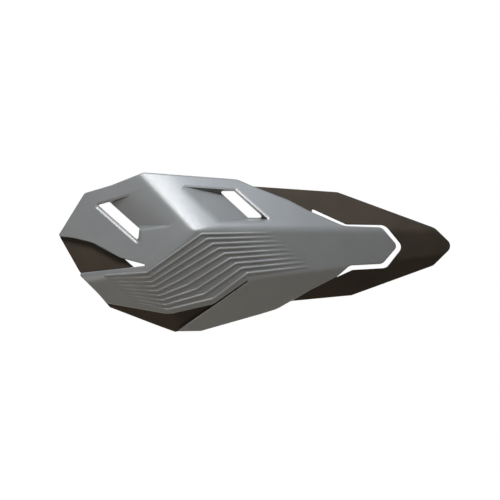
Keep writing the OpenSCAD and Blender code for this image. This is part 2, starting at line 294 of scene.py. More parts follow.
CHEEK_GAP = outline([
    [-77, 21.5, 3], [-44, 31.5, 3], [-10, 0.5, 3], [-24, -19, 3], [-31, -38.5, 3], [-66, -8.3, 3]])
TOP_GAP = outline([[-16.5, 33, 3], [35.5, 33, 3], [66, 5.5, 3], [62, 1, 3], [17, 1, 3]])
TIP_GAP = outline([
    [88.5, 15.5, 1], [115.5, 3.2, 6], [144.5, 2.8, 8], [157.8, -13.4, 5], [145.5, -29.2, 6],
    [120, -30.6, 6], [108.5, -35.9, 1], [98, -28, 4], [98, -4, 4]])

# Vents
SCOOP_REACH, SCOOP_LEAD, SCOOP_BLEND = 9.0, -0.4, 4
RECESS_STEP, WINDOW_STEP = 0.6, 0.5
LIP_WIDTH, LIP_SOFT = 1.5, 0.08
WALL_SLOPE, WALL_START, WALL_SOFT = 3.6, 0.2, 0.25


class Scoop:
    """A recess whose floor leaves the face along one edge and sinks to a window."""

    def __init__(self, recess, window, face, flush, fall, run, crease, lip):
        self.recess = outline(recess, RECESS_STEP)
        self.window = outline(window, WINDOW_STEP)
        self.floor = sloped(face, *flush, fall, run, SCOOP_LEAD)
        self.crease = crease
        self.lip = lip

    def sink(self, p, base, grow=0.0, wall=0.0):
        """How far the scoop lies behind base; grow and wall give its back face."""
        d = signed(p, self.recess, SCOOP_REACH) + grow
        sunk = rise(depth(self.floor, p) + wall * steepness(self.floor) - base, self.crease)
        lip = self.lip * (rise(d + LIP_WIDTH, LIP_SOFT) - rise(d, LIP_SOFT))
        steep = lip + rise(WALL_SLOPE * (d - WALL_START), WALL_SOFT)
        both = sunk ** SCOOP_BLEND + steep ** SCOOP_BLEND + TINY
        return sunk * steep / both ** (1 / SCOOP_BLEND)


CHEEK_SCOOP = Scoop(
    [[-71.5, 17.6, 1.5], [-36.3, 27.6, 3], [-9.6, 3.9, 4], [-38.7, -0.4, 1], [-39, -10.8, 1]],
    [[-69.6, 17.8, 0.8], [-61, 19.9, 0.8], [-38.8, 0.2, 0.8], [-39.8, -8.4, 0.8]],
    CHEEK, [(-17.5, 2.6), (-44, 25.4)], fall=7.0, run=15.5, crease=1.1, lip=0.58)
TOP_SCOOP = Scoop(
    [[-9.2, 31.6, 2], [32.4, 29, 1], [57.2, 7.2, 1], [54.5, 5.8, 1], [19.6, 5.8, 2]],
    [[20.6, 28.1, 1], [31.6, 28.1, 1], [53.4, 8.4, 1], [42, 8.4, 1]],
    TOP, [(-9.2, 31.6), (19.6, 5.8)], fall=7.5, run=17.0, crease=0.5, lip=0.36)
SCOOPS = (CHEEK_SCOOP, TOP_SCOOP)

# Ribs: the others lie evenly between the first and the last, and the lower ones have a belly
RIB_COUNT, RIB_HEIGHT, RIB_HALF, RIB_FLANK, RIB_CORNER = 9, 0.9, 1.35, 1.1, 3.0
RIB_FADE, RIB_FADE_POWER, RIB_REACH = 24.0, 0.7, 3.0
FIRST_RIB = np.array([[59, -3.2], [7.7, -4.1], [-32.8, -32.8], [-63.4, -34.7]])
LAST_RIB = np.array([[88.5, -28.1], [41.8, -33.2], [-17.4, -60.3], [-41.8, -55.3]])
BELLY_DROP, BELLY_START, BELLY_PLACE, BELLY_SHIFT = 7.4, 0.4, 0.1, 0.47


def rib_path(t):
    """The middle line of the rib at t, from 0 for the first to 1 for the last."""
    p = FIRST_RIB + (LAST_RIB - FIRST_RIB) * t
    if t <= BELLY_START:
        return p
    along = BELLY_PLACE + BELLY_SHIFT * t
    drop = BELLY_DROP * (t - BELLY_START) / (1 - BELLY_START)
    belly = p[2] + (p[1] - p[2]) * along - vec(0, drop)
    return np.array([p[0], p[1], belly, p[2], p[3]])


def eased(path, r):
    """An open path with its inner corners rounded."""
    out = [path[0]]
    for a, p, b in zip(path[:-2], path[1:-1], path[2:]):
        out += fillet(a, p, b, r)
    out.append(path[-1])
    return np.array(out)


RIBS = [eased(rib_path(i / (RIB_COUNT - 1)), RIB_CORNER) for i in range(RIB_COUNT)]
OUT_FADE = sloped(BAND, LAST_RIB[0], FIRST_RIB[0], -RIB_HEIGHT, RIB_FADE)
IN_FADE = sloped(HEEL, FIRST_RIB[3], LAST_RIB[3], -RIB_HEIGHT, RIB_FADE)


def rib_height(p, base):
    """How far the ribs stand out of base: rounded in section, and fading out at both ends."""
    d = np.minimum.reduce([distance(p, path, False, RIB_REACH) for path in RIBS])
    room = np.minimum(base - depth(OUT_FADE, p), base - depth(IN_FADE, p))
    top = RIB_HEIGHT * np.clip(room / RIB_HEIGHT, 0, 1) ** RIB_FADE_POWER
    return top * smooth(np.clip((RIB_HALF - d) / RIB_FLANK, 0, 1))


# Places of the fasteners, and the edges of the shells
SCREW_AT = [vec(*p) for p in ((-82, 4), (-30, 32), (68, 11), (84, -13), (44, -55), (-60, -44))]
TOWER_AT = [vec(MOUNT_START, -MOUNT_DROP), OUTER_TOWER]
BOSS_D, BOSS_REACH, CUP_WALL, CUP_GAP, CUP_FLOOR = 8.0, 15.0, 2.2, 0.3, 2.5
CUP_R = BOSS_D / 2 + CUP_GAP


def circle(middle, r, n=40):
    """A circle as a loop of n points."""
    angles = np.linspace(0, 2 * math.pi, n, False)
    return np.array([middle + r * vec(math.sin(a), math.cos(a)) for a in angles])


COVER_HOLES = [CHEEK_SCOOP.window, TOP_SCOOP.window]
CARRIER_HOLES = [CHEEK_GAP, TOP_GAP, TIP_GAP] + [circle(p, CUP_R) for p in SCREW_AT]
COVER_LOOPS = [COVER_OUTLINE] + COVER_HOLES
CARRIER_LOOPS = [CARRIER_OUTLINE] + CARRIER_HOLES
COVER_ROUND, WINDOW_ROUND, COVER_BACK_ROUND = 0.9, 0.5, 0.4
CARRIER_ROUND, CARRIER_BACK_ROUND = 1.0, 0.5


def rim(p, loops, r, holes_only=False):
    """The rounding of a plate's edges: the first loop is its outline, unless there are only holes."""
    d = nearest(p, loops, 2 * r)
    near = np.nonzero(d < 2 * r)[0]
    q = p[near]
    beyond = np.zeros(len(near), bool)
    for i, loop in enumerate(loops):
        beyond |= inside(q, loop) == (i > 0 or holes_only)
    d[near] = np.where(beyond, -d[near], d[near])
    return edge_drop(d, r)


def cover_front(p):
    base = form(p)
    y = base + sum(s.sink(p, base) for s in SCOOPS) - rib_height(p, base)
    return y + rim(p, [COVER_OUTLINE], COVER_ROUND) + rim(p, COVER_HOLES, WINDOW_ROUND, True)


def cover_back(p):
    base = form(p, COVER_WALL)
    y = base + sum(s.sink(p, base, VENT_WALL, VENT_WALL) for s in SCOOPS)
    return y - rim(p, COVER_LOOPS, COVER_BACK_ROUND)


NOTCH_EDGE = np.array([[-74.0, -10.0], [-43.5, -28.5], [-34.0, -34.3]])
JOGGLE_DEPTH, JOGGLE_RUN, JOGGLE_END, JOGGLE_FADE = 1.7, 1.3, 13.0, 7.0


def joggle(p):
    """The carrier steps back where it runs under the cover, along the edge in the cover's notch."""
    along = unit(NOTCH_EDGE[1] - NOTCH_EDGE[0])
    over = (p - NOTCH_EDGE[0]) @ side(along)
    near = distance(p, NOTCH_EDGE, False, JOGGLE_END + 1)
    step = smooth(np.clip(over / JOGGLE_RUN, 0, 1))
    back = smooth(np.clip((JOGGLE_END - near) / JOGGLE_FADE, 0, 1))
    return JOGGLE_DEPTH * step * back


def carrier_front(p):
    return form(p, CARRIER_FRONT) + joggle(p) + rim(p, CARRIER_LOOPS, CARRIER_ROUND)


def carrier_back(p):
    return form(p, CARRIER_BACK) + joggle(p) - rim(p, CARRIER_LOOPS, CARRIER_BACK_ROUND)


# Meshes: (vertices, faces, normals) in millimetres, depth second


def slopes(fn, p, h=0.02):
    """Normals, towards the front, of the surface whose depth is fn."""
    gx = (fn(p + vec(h, 0)) - fn(p - vec(h, 0))) / (2 * h)
    gz = (fn(p + vec(0, h)) - fn(p - vec(0, h))) / (2 * h)
    n = np.stack([gx, -np.ones(len(p)), gz], 1)
    return n / np.linalg.norm(n, axis=1)[:, None]


# Row height of the grid and jitter as shares of its step, then how near to its full distance
# a point beside a bend is still kept, as a share of it
ROW_SHARE, JITTER, SEED = 0.866, 0.12, 7
EDGE_ROW_KEEP, RAIL_KEEP, GRID_KEEP = 0.9, 0.93, 0.999


def lattice(low, high, step):
    """A triangular grid of points, a little jittered."""
    rng = np.random.default_rng(SEED)
    rows = int((high[1] - low[1]) / (step * ROW_SHARE)) + 1
    cols = int((high[0] - low[0]) / step) + 1
    x, z = np.meshgrid(np.arange(cols) * step, np.arange(rows) * step * ROW_SHARE)
    x = x + (np.arange(rows)[:, None] % 2) * step / 2
    p = np.stack([x.ravel() + low[0], z.ravel() + low[1]], 1)
    return p + rng.uniform(-JITTER, JITTER, p.shape) * step


def edge_rows(loops, steps):
    """Rows of points beside the loops, at the given steps inside the first and outside the others."""
    rows = []
    for i, loop in enumerate(loops):
        after = np.roll(loop, -1, 0)
        clockwise = (loop[:, 0] * after[:, 1] - after[:, 0] * loop[:, 1]).sum() < 0
        away = mitres(loop, True) * (1 if (i > 0) == clockwise else -1)
        for d in steps:
            row = loop + away * d
            rows.append(row[nearest(row, loops, 2 * d) > EDGE_ROW_KEEP * d])
    return rows


def rails(path, closed, offsets):
    """Rows of points beside a path."""
    step = mitres(path, closed)
    out = []
    for o in offsets:
        row = path + step * o
        if o:
            gap = distance(row, path, closed, abs(o) * 2)
            row = row[gap > abs(o) * RAIL_KEEP]
        out.append(row)
    return np.vstack(out)


EDGE_CLEAR, THIN_CELL, GRID_CLEAR, SAME_POINT = 0.09, 0.16, 0.6, 1e-5


def filled(loops, rows, clears, step, edge_steps):
    """Points and triangles that fill the first loop and leave out the others. rows are points
    to take in; clears are paths, each with the distance that the grid keeps from it."""
    last = edge_steps[-1] + step * GRID_CLEAR
    grid = lattice(loops[0].min(0), loops[0].max(0), step)
    grid = grid[nearest(grid, loops, last) >= last * GRID_KEEP]
    for path, closed, clear in clears:
        grid = grid[distance(grid, path, closed, clear) >= clear]
    loose = np.vstack(edge_rows(loops, edge_steps) + [grid] + rows)
    loose = loose[within(loose, loops)]
    loose = loose[nearest(loose, loops, 2 * EDGE_CLEAR) > EDGE_CLEAR]
    cell = np.round(loose / THIN_CELL).astype(np.int64)
    _, first = np.unique(cell, axis=0, return_index=True)
    loose = loose[np.sort(first)]
    start, edges = 0, []
    for loop in loops:
        n = len(loop)
        edges += [(start + i, start + (i + 1) % n) for i in range(n)]
        start += n
    every = np.vstack(loops + [loose])
    made = geometry.delaunay_2d_cdt([tuple(v) for v in every], edges, [], 0, SAME_POINT)
    p = np.array([(v[0], v[1]) for v in made[0]])
    tris = np.array([f for f in made[2]])
    tris = tris[within(p[tris].mean(1), loops)]
    a, b, c = p[tris[:, 0]], p[tris[:, 1]], p[tris[:, 2]]
    area = (b[:, 0] - a[:, 0]) * (c[:, 1] - a[:, 1]) - (c[:, 0] - a[:, 0]) * (b[:, 1] - a[:, 1])
    tris[area < 0] = tris[area < 0][:, ::-1]
    return p, tris


def lifted(p, y):
    """The points p at the depths y."""
    return np.stack([p[:, 0], y, p[:, 1]], 1)


def spot(v):
    """The place of a point, rounded so that equal places compare as equal."""
    return round(v[0], 4), round(v[1], 4)


def plate(front, back, loops, front_fill, back_fill):
    """A closed moulded plate between two depths. Each fill gives what filled() takes after the
    loops: rows, clears, step and edge steps."""
    p, tris = filled(loops, *front_fill)
    q, back_tris = filled(loops, *back_fill)
    verts = np.vstack([lifted(p, front(p)), lifted(q, back(q))])
    normals = np.vstack([slopes(front, p), -slopes(back, q)])
    n = len(p)
    # A face that runs counter-clockwise in (x, z) looks to the front
    faces = [tuple(t) for t in tris.tolist()]
    faces += [(t[2] + n, t[1] + n, t[0] + n) for t in back_tris.tolist()]
    sides = dict.fromkeys(pair for a, b, c in tris.tolist() for pair in ((a, b), (b, c), (c, a)))
    behind = {spot(v): i + n for i, v in enumerate(q.tolist())}
    spots = [spot(v) for v in p.tolist()]
    for a, b in sides:
        if (b, a) not in sides:
            faces.append((b, a, behind[spots[a]], behind[spots[b]]))
    return verts, faces, normals


def revolved(middle, profile, segments, loop=False):
    """A turned solid about a line along depth. The profile gives (radius, depth); either may be
    a function: radius of the angle, depth of the points."""
    angles = np.linspace(0, 2 * math.pi, segments, False)
    ring_dir = np.stack([np.cos(angles), np.sin(angles)], 1)
    verts, faces, starts = [], [], []
    for radius, y in profile:
        r = np.array([radius(a) for a in angles]) if callable(radius) else np.full(segments, float(radius))
        single = not callable(radius) and radius == 0
        p = middle + ring_dir * r[:, None]
        if single:
            p = p[:1]
        d = y(p) if callable(y) else np.full(len(p), float(y))
        starts.append((len(verts), single))
        verts += lifted(p, d).tolist()
    pairs = list(zip(starts[:-1], starts[1:])) + ([(starts[-1], starts[0])] if loop else [])
    for (a, one_a), (b, one_b) in pairs:
        for k in range(segments):
            m = (k + 1) % segments
            if one_a:
                faces.append((a, b + k, b + m))
            elif one_b:
                faces.append((a + k, b, a + m))
            else:
                faces.append((a + k, b + k, b + m, a + m))
    return outward(np.array(verts), faces)


def outward(verts, faces):
    """Turns the faces of a closed solid outwards and adds mean normals."""
    tris = np.array([(f[0], f[i], f[i + 1]) for f in faces for i in range(1, len(f) - 1)])
    a, b, c = verts[tris[:, 0]], verts[tris[:, 1]], verts[tris[:, 2]]
    flat = np.cross(b - a, c - a)
    if (a * np.cross(b, c)).sum() < 0:
        faces = [tuple(reversed(f)) for f in faces]
        flat = -flat
    flat /= np.maximum(np.linalg.norm(flat, axis=1), TINY)[:, None]
    normals = np.zeros_like(verts)
    for k in range(3):
        np.add.at(normals, tris[:, k], flat)
    normals /= np.maximum(np.linalg.norm(normals, axis=1), TINY)[:, None]
    return verts, faces, normals


NEARLY_STRAIGHT, CUT_SHARE = 0.99, 2.2


def bevelled(profile, r):
    """A profile of plain numbers with its corners cut round."""
    out = [profile[0]]
    for a, p, b in zip(profile[:-2], profile[1:-1], profile[2:]):
        a, q, b = vec(*a), vec(*p), vec(*b)
        la, lb = np.linalg.norm(a - q), np.linalg.norm(b - q)
        cut = min(r, la / CUT_SHARE, lb / CUT_SHARE)
        u, v = (a - q) / la, (b - q) / lb
        if abs(float(u @ v)) > NEARLY_STRAIGHT:
            out.append(tuple(q))
            continue
        for t in (0, 0.25, 0.5, 0.75, 1):
            out.append(tuple(q + u * cut * (1 - t) ** 2 + v * cut * t ** 2))
    out.append(profile[-1])
    return out


# How a post's foot flares: steps out and up, in shares of its size
FOOT_CURVE = ((1, 0), (0.55, 0.12), (0.25, 0.38), (0.06, 0.75), (0, 1.2))
FOOT, FOOT_SUNK, POST_ROUND, SHOULDER_SHARE = 1.2, 0.8, 0.5, 0.3


def stub(base, r, end, foot=FOOT):
    """The outside profile of a moulded post that flares out of the surface base."""
    lifts = [(foot, -FOOT_SUNK)] + [(foot * out, foot * up) for out, up in FOOT_CURVE]
    rows = [(r + out, (lambda p, up=up: base(p) + up)) for out, up in lifts]
    shoulder = SHOULDER_SHARE * POST_ROUND
    return rows + [(r, end - POST_ROUND), (r - shoulder, end - shoulder), (r - POST_ROUND, end)]


def merged(parts):
    """One part of several, which stay separate shells in it."""
    verts, faces, normals, start = [], [], [], 0
    for v, f, n in parts:
        verts.append(v)
        normals.append(n)
        faces += [tuple(i + start for i in face) for face in f]
        start += len(v)
    return np.vstack(verts), faces, np.vstack(normals)


def mounted(name, part, material, slot, *nodes):
    """Makes the Blender object of a part, in the row's frame, and hands it to the frame."""
    verts, faces, normals = part
    moved = (verts - vec(MOUNT_START + MOUNT_SPACING / 2, MOUNT_DEPTH, -MOUNT_DROP)) * MM
    # Else the tail's tip would stand 0.06 mm past the solids' box, and the cover's inboard tip 0.01 mm
    moved = np.clip(moved, *np.array(plain(CAD_BOX)))
    mesh = bpy.data.meshes.new(name)
    mesh.from_pydata(moved.tolist(), [], faces)
    mesh.polygons.foreach_set("use_smooth", [True] * len(mesh.polygons))
    mesh.update()
    mesh.normals_split_custom_set_from_vertices(normals.tolist())
    obj = bpy.data.objects.new(name, mesh)
    bpy.context.scene.collection.objects.link(obj)
    obj.data.materials.append(material)
    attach(obj, "root")
    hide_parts(*nodes)


# Materials
TINT_LOW, TINT_HIGH = 0.35, 0.65


def tree(name):
    """A new material, with what its nodes are made and linked with."""
    material = bpy.data.materials.new(name)
    material.use_nodes = True
    nodes, links = material.node_tree.nodes, material.node_tree.links
    shader = nodes["Principled BSDF"]
    where = nodes.new("ShaderNodeTexCoord").outputs["Object"]
    return material, nodes, links, shader, where


def noise(nodes, links, where, scale, detail, rough=0.5):
    """A value that varies smoothly from place to place."""
    n = nodes.new("ShaderNodeTexNoise")
    n.inputs["Scale"].default_value = scale
    n.inputs["Detail"].default_value = detail
    n.inputs["Roughness"].default_value = rough
    links.new(where, n.inputs["Vector"])
    return n.outputs["Fac"]


def ranged(nodes, links, value, start, end, low, high):
    """Maps value from start..end to low..high."""
    m = nodes.new("ShaderNodeMapRange")
    for name, v in (("From Min", start), ("From Max", end), ("To Min", low), ("To Max", high)):
        m.inputs[name].default_value = v
    links.new(value, m.inputs["Value"])
    return m.outputs["Result"]


def tinted(nodes, links, value, a, b):
    """A colour from a to b by value."""
    r = nodes.new("ShaderNodeValToRGB")
    for element, place, colour in zip(r.color_ramp.elements, (TINT_LOW, TINT_HIGH), (a, b)):
        element.position = place
        element.color = (*colour, 1)
    links.new(value, r.inputs["Fac"])
    return r.outputs["Color"]


def bumped(nodes, links, height, strength, relief):
    """Normals that follow a height."""
    b = nodes.new("ShaderNodeBump")
    b.inputs["Strength"].default_value = strength
    b.inputs["Distance"].default_value = relief
    links.new(height, b.inputs["Height"])
    return b.outputs["Normal"]


# Noise scales in cells to a metre, and relief in metres
FLOW_SCALE, GLOSS_SCALE, GRAIN_SCALE, GRAIN_RELIEF = 45, 420, 3600, 0.00003
METAL_SCALE, METAL_TONE_SCALE, METAL_RELIEF = 900, 180, 0.00002
NOISE_LOW, NOISE_HIGH = 0.3, 0.7
# How far roughness strays
GLOSS_SPREAD, METAL_SMOOTHER, METAL_ROUGHER = 0.025, 0.07, 0.09


def plastic(name, dark, light, rough, specular, grain):
    """Moulded plastic: faint flow marks in colour and gloss over a fine eroded grain."""
    material, nodes, links, shader, where = tree(name)
    flow = noise(nodes, links, where, FLOW_SCALE, detail=3)
    links.new(tinted(nodes, links, flow, dark, light), shader.inputs["Base Color"])
    patches = noise(nodes, links, where, GLOSS_SCALE, detail=2)
    gloss = ranged(nodes, links, patches, NOISE_LOW, NOISE_HIGH, rough - GLOSS_SPREAD, rough + GLOSS_SPREAD)
    links.new(gloss, shader.inputs["Roughness"])
    shader.inputs["Specular IOR Level"].default_value = specular
    fine = noise(nodes, links, where, GRAIN_SCALE, detail=2, rough=0.6)
    links.new(bumped(nodes, links, fine, grain, GRAIN_RELIEF), shader.inputs["Normal"])
    return material


def metal(name, dark, light, rough, grain):
    """Machined metal: patches in tone and gloss, and a faint unevenness."""
    material, nodes, links, shader, where = tree(name)
    tone = noise(nodes, links, where, METAL_TONE_SCALE, detail=3)
    links.new(tinted(nodes, links, tone, dark, light), shader.inputs["Base Color"])
    patches = noise(nodes, links, where, METAL_SCALE, detail=4, rough=0.6)
    smoothest, roughest = rough - METAL_SMOOTHER, rough + METAL_ROUGHER
    gloss = ranged(nodes, links, patches, NOISE_LOW, NOISE_HIGH, smoothest, roughest)
    links.new(gloss, shader.inputs["Roughness"])
    shader.inputs["Metallic"].default_value = 1.0
    links.new(bumped(nodes, links, patches, grain, METAL_RELIEF), shader.inputs["Normal"])
    return material


COVER_PLASTIC = plastic("cover_plastic", (0.108, 0.111, 0.113), (0.118, 0.121, 0.123),
                        rough=0.36, specular=0.5, grain=0.3)
CARRIER_PLASTIC = plastic("carrier_plastic", (0.03, 0.0235, 0.018), (0.035, 0.0275, 0.021),
                          rough=0.48, specular=0.05, grain=0.35)
STEEL = metal("screw_steel", (0.28, 0.285, 0.295), (0.37, 0.37, 0.375), rough=0.34, grain=0.25)
BRASS = metal("insert_brass", (0.55, 0.38, 0.14), (0.68, 0.5, 0.22), rough=0.28, grain=0.25)

# Cover
FRONT_EDGE_STEPS, BACK_EDGE_STEPS = (0.1, 0.3, 0.6, 1.0), (0.15, 0.45)
COVER_GRID, COVER_BACK_GRID, RIB_STEP = 1.1, 2.0, 1.0
BOSS_SIDES, TOWER_SIDES, TURNED_SIDES = 40, 56, 48
RIB_OFFSETS = (-1.35, -1.05, -0.7, -0.35, 0, 0.35, 0.7, 1.05, 1.35)
SCOOP_OFFSETS = (1.75, 1.45, 1.15, 0.7, 0.25, 0.0, -0.2, -0.4, -0.8, -1.3, -2.0)
SCOOP_BACK_OFFSETS = (2.6, 2.2, 1.7, 1.2, 0.7, 0.2, -0.4)
RIB_CLEAR, SCOOP_CLEAR = 1.7, 2.0
PILOT_R, PILOT_DEPTH, PILOT_TIP, PILOT_CHAMFER = 1.75, 8.5, 0.7, 0.4


def boss_end(p):
    """Depth of the end of the cover's boss at p."""
    return float(form(p[None])[0]) + BOSS_REACH


def boss(p):
    """A post with a pilot hole for a self-tapping screw."""
    end = boss_end(p)
    rows = stub(lambda q: form(q, COVER_WALL), BOSS_D / 2, end)
    rows += [(PILOT_R + PILOT_CHAMFER, end), (PILOT_R, end - PILOT_CHAMFER),
             (PILOT_R, end - PILOT_DEPTH), (0, end - (PILOT_DEPTH + PILOT_TIP))]
    return revolved(p, [(0, rows[0][1])] + rows, BOSS_SIDES)


def cover_body():
    rows = [rails(resampled(path, RIB_STEP, False), False, RIB_OFFSETS) for path in RIBS]
    rows += [rails(s.recess, True, SCOOP_OFFSETS) for s in SCOOPS]
    clears = [(path, False, RIB_CLEAR) for path in RIBS] + [(s.recess, True, SCOOP_CLEAR) for s in SCOOPS]
    back_rows = [rails(s.recess, True, SCOOP_BACK_OFFSETS) for s in SCOOPS]
    shell = plate(cover_front, cover_back, COVER_LOOPS, (rows, clears, COVER_GRID, FRONT_EDGE_STEPS),
                  (back_rows, [], COVER_BACK_GRID, BACK_EDGE_STEPS))
    return merged([shell] + [boss(p) for p in SCREW_AT])


mounted("cover_body", cover_body(), COVER_PLASTIC, "cover", "cover_shell")

# Carrier
CARRIER_GRID, CARRIER_BACK_GRID, NOTCH_CLEAR, NOTCH_STEP = 1.6, 2.4, 2.2, 0.8
NOTCH_OFFSETS = (-0.3, 0, 0.2, 0.5, 0.9, 1.3, 1.8)
SCREW_HOLE_R, SCREW_HOLE_CHAMFER = 2.3, 0.2
TOWER_R, TOWER_FOOT, BORE_R, BORE_CHAMFER, BORE_DEPTH, BORE_TIP = 8.0, 1.8, 4.6, 0.3, 11.5, 0.5
WEB_HALF, WEB_HEIGHT, WEB_SUNK, WEB_STEP = 1.0, 6.0, 0.6, 1.5
# A web's rounded foot and crown: steps out from its side, and up from its foot or its top
WEB_FOOT = ((0.9, 0.0), (0.35, 0.15), (0.08, 0.5), (0, 1.0))
WEB_CROWN = ((0, -0.5), (-0.14, -0.15), (-0.5, 0.0))
LOW_WEB_END = vec(8, -62)
WEBS = ((TOWER_AT[0], TOWER_AT[1]), (TOWER_AT[0], SCREW_AT[5]), (TOWER_AT[0], LOW_WEB_END),
        (TOWER_AT[1], SCREW_AT[4]), (TOWER_AT[1], SCREW_AT[3]))


def back_face(q):
    return form(q, CARRIER_BACK)


def cup(p):
    """A cup round a boss of the cover, with a hole for its screw."""
    end = boss_end(p)
    top = end + CUP_FLOOR
    rows = stub(back_face, CUP_R + CUP_WALL, top)
    rows += [(SCREW_HOLE_R + SCREW_HOLE_CHAMFER, top), (SCREW_HOLE_R, top - SCREW_HOLE_CHAMFER),
             (SCREW_HOLE_R, end), (CUP_R, end), (CUP_R, lambda q: back_face(q) - FOOT_SUNK)]
    return revolved(p, rows, TURNED_SIDES, loop=True)


def tower(p):
    """A post for the bracket, with a blind bore for its insert."""
    rows = stub(back_face, TOWER_R, TOWER_FACE, TOWER_FOOT)
    rows += [(BORE_R + BORE_CHAMFER, TOWER_FACE), (BORE_R, TOWER_FACE - BORE_CHAMFER),
             (BORE_R, TOWER_FACE - BORE_DEPTH), (0, TOWER_FACE - (BORE_DEPTH + BORE_TIP))]
    return revolved(p, [(0, rows[0][1])] + rows, TOWER_SIDES)


def web(a, b):
    """A stiffening wall from a to b that stands on the carrier's back."""
    across = side(unit(b - a))
    count = max(2, int(np.linalg.norm(b - a) / WEB_STEP))
    half = [(-WEB_HALF - WEB_FOOT[0][0], CARRIER_BACK, -WEB_SUNK)]
    half += [(-WEB_HALF - out, CARRIER_BACK, up) for out, up in WEB_FOOT]
    half += [(-WEB_HALF - out, CARRIER_BACK + WEB_HEIGHT, up) for out, up in WEB_CROWN]
    section = half + [(-s, inset, up) for s, inset, up in reversed(half)]
    verts, faces = [], []
    n = len(section)
    for k in range(count + 1):
        middle = a + (b - a) * k / count
        for s, inset, up in section:
            p = middle + across * s
            verts.append((p[0], float(form(p[None], inset)[0]) + up, p[1]))
    for k in range(count):
        for i in range(n):
            m = (i + 1) % n
            faces.append((k * n + i, k * n + m, (k + 1) * n + m, (k + 1) * n + i))
    faces += [tuple(range(n)), tuple(reversed(range(count * n, count * n + n)))]
    return outward(np.array(verts), faces)


def carrier_body():
    notch = resampled(NOTCH_EDGE, NOTCH_STEP, False)
    rows, clears = [rails(notch, False, NOTCH_OFFSETS)], [(notch, False, NOTCH_CLEAR)]
    shell = plate(carrier_front, carrier_back, CARRIER_LOOPS,
                  (rows, clears, CARRIER_GRID, FRONT_EDGE_STEPS),
                  ([], [], CARRIER_BACK_GRID, BACK_EDGE_STEPS))
    posts = [cup(p) for p in SCREW_AT] + [tower(p) for p in TOWER_AT]
    return merged([shell] + posts + [web(a, b) for a, b in WEBS])


mounted("carrier_body", carrier_body(), CARRIER_PLASTIC, "carrier", "carrier_shell")

# Screws: (radius, height over the seat) of tip, shank, flange and head, then the hexagon socket
SCREW_PROFILE = ((0, -10.5), (1.7, -9.9), (1.7, 0), (4.7, 0), (4.7, 0.7), (4.4, 1.1), (3.3, 1.2),
                 (3.3, 3.3), (2.2, 3.3))
SOCKET_PROFILE = ((3.4, 3.3), (3.0, 3.05), (3.0, 1.0))
SOCKET_FLOOR, SCREW_BEVEL = 0.7, 0.35


def hexagon(across):
    """Radius of a hexagon of that width across its flats, by angle."""
    return lambda a: across / 2 / math.cos((a % (math.pi / 3)) - math.pi / 6)


def screw(p):
    seat = boss_end(p) + CUP_FLOOR
    rows = bevelled([(r, seat + h) for r, h in SCREW_PROFILE], SCREW_BEVEL)
    rows += [(hexagon(across), seat + h) for across, h in SOCKET_PROFILE]
    return revolved(p, rows + [(0, seat + SOCKET_FLOOR)], TURNED_SIDES)


for i, p in enumerate(SCREW_AT):
    mounted(f"screw_{i + 1}", screw(p), STEEL, "screw", f"cover_screw_{i + 1}")

# Inserts: a barrel with two grooves, a flange and an M6 thread
INSERT_R, GROOVE_R, FLANGE_R, MOUTH_R, INSERT_START_R = 4.5, 4.0, 6.0, 3.3, 2.9
GROOVES, GROOVE_SHARE, GROOVE_SIDE, INSERT_BEVEL = (3, 1), 6, 0.01, 0.22
PITCH, TAP_R, THREAD_R, THREAD_FLANK, THREAD_STEP, THREAD_END = 1.0, 2.5, 3.0, 2.6, 0.125, 0.3


def thread(y):
    """Radius of the threaded bore at depth y, by angle."""
    def radius(a):
        turn = (y / PITCH - a / (2 * math.pi)) % 1.0
        return TAP_R + (THREAD_R - TAP_R) * max(0.0, 1 - abs(turn - 0.5) * THREAD_FLANK)
    return radius


def insert(p):
    start, end = TOWER_FACE - INSERT_LENGTH, MOUNT_DEPTH
    width = INSERT_LENGTH / GROOVE_SHARE
    barrel = [(INSERT_START_R, start), (INSERT_R, start)]
    for k in GROOVES:
        low, high = TOWER_FACE - (k + 1.5) * width, TOWER_FACE - (k + 0.5) * width
        barrel += [(INSERT_R, low), (GROOVE_R, low + GROOVE_SIDE)]
        barrel += [(GROOVE_R, high - GROOVE_SIDE), (INSERT_R, high)]
    barrel += [(INSERT_R, TOWER_FACE), (FLANGE_R, TOWER_FACE), (FLANGE_R, end), (MOUTH_R, end)]
    turns = int((end - start - 2 * THREAD_END) / THREAD_STEP)
    depths = [end - THREAD_END - k * THREAD_STEP for k in range(turns)]
    rows = bevelled(barrel, INSERT_BEVEL) + [(thread(y), y) for y in depths]
    return revolved(p, rows, TURNED_SIDES, loop=True)


for name, p in zip(("inner", "outer"), TOWER_AT):
    mounted(f"insert_{name}", insert(p), BRASS, "insert", f"mount_insert_{name}")

# Camera: about 0.75 mm of the part to a pixel of the 500 pixel photograph
AIM = vec(0.0135, 0.0, 0.00625)
SENSOR, LENS, CAMERA_AWAY, CLIP_NEAR, CLIP_FAR = 36, 579, 6.0, 0.1, 100
camera_data = bpy.data.cameras.new("camera")
camera_data.sensor_width = SENSOR
camera_data.lens = LENS
camera_data.clip_start = CLIP_NEAR
camera_data.clip_end = CLIP_FAR
camera = bpy.data.objects.new("camera", camera_data)
camera.location = (AIM[0], -CAMERA_AWAY, AIM[2])
camera.rotation_euler = (math.pi / 2, 0, 0)
bpy.context.scene.collection.objects.link(camera)
bpy.context.scene.camera = camera


def softbox(name, towards, span, power, colour, away):
    """A square lamp that stands at the given direction from the part and faces it."""
    data = bpy.data.lights.new(name, "AREA")
    data.shape = "SQUARE"
    data.size = span
    data.energy = power
    data.color = colour
    obj = bpy.data.objects.new(name, data)
    d = unit(vec(*towards))
    obj.location = tuple(AIM + d * away)
    obj.rotation_euler = Vector(tuple(d)).to_track_quat("Z", "Y").to_euler()
    obj.visible_camera = False
    bpy.context.scene.collection.objects.link(obj)


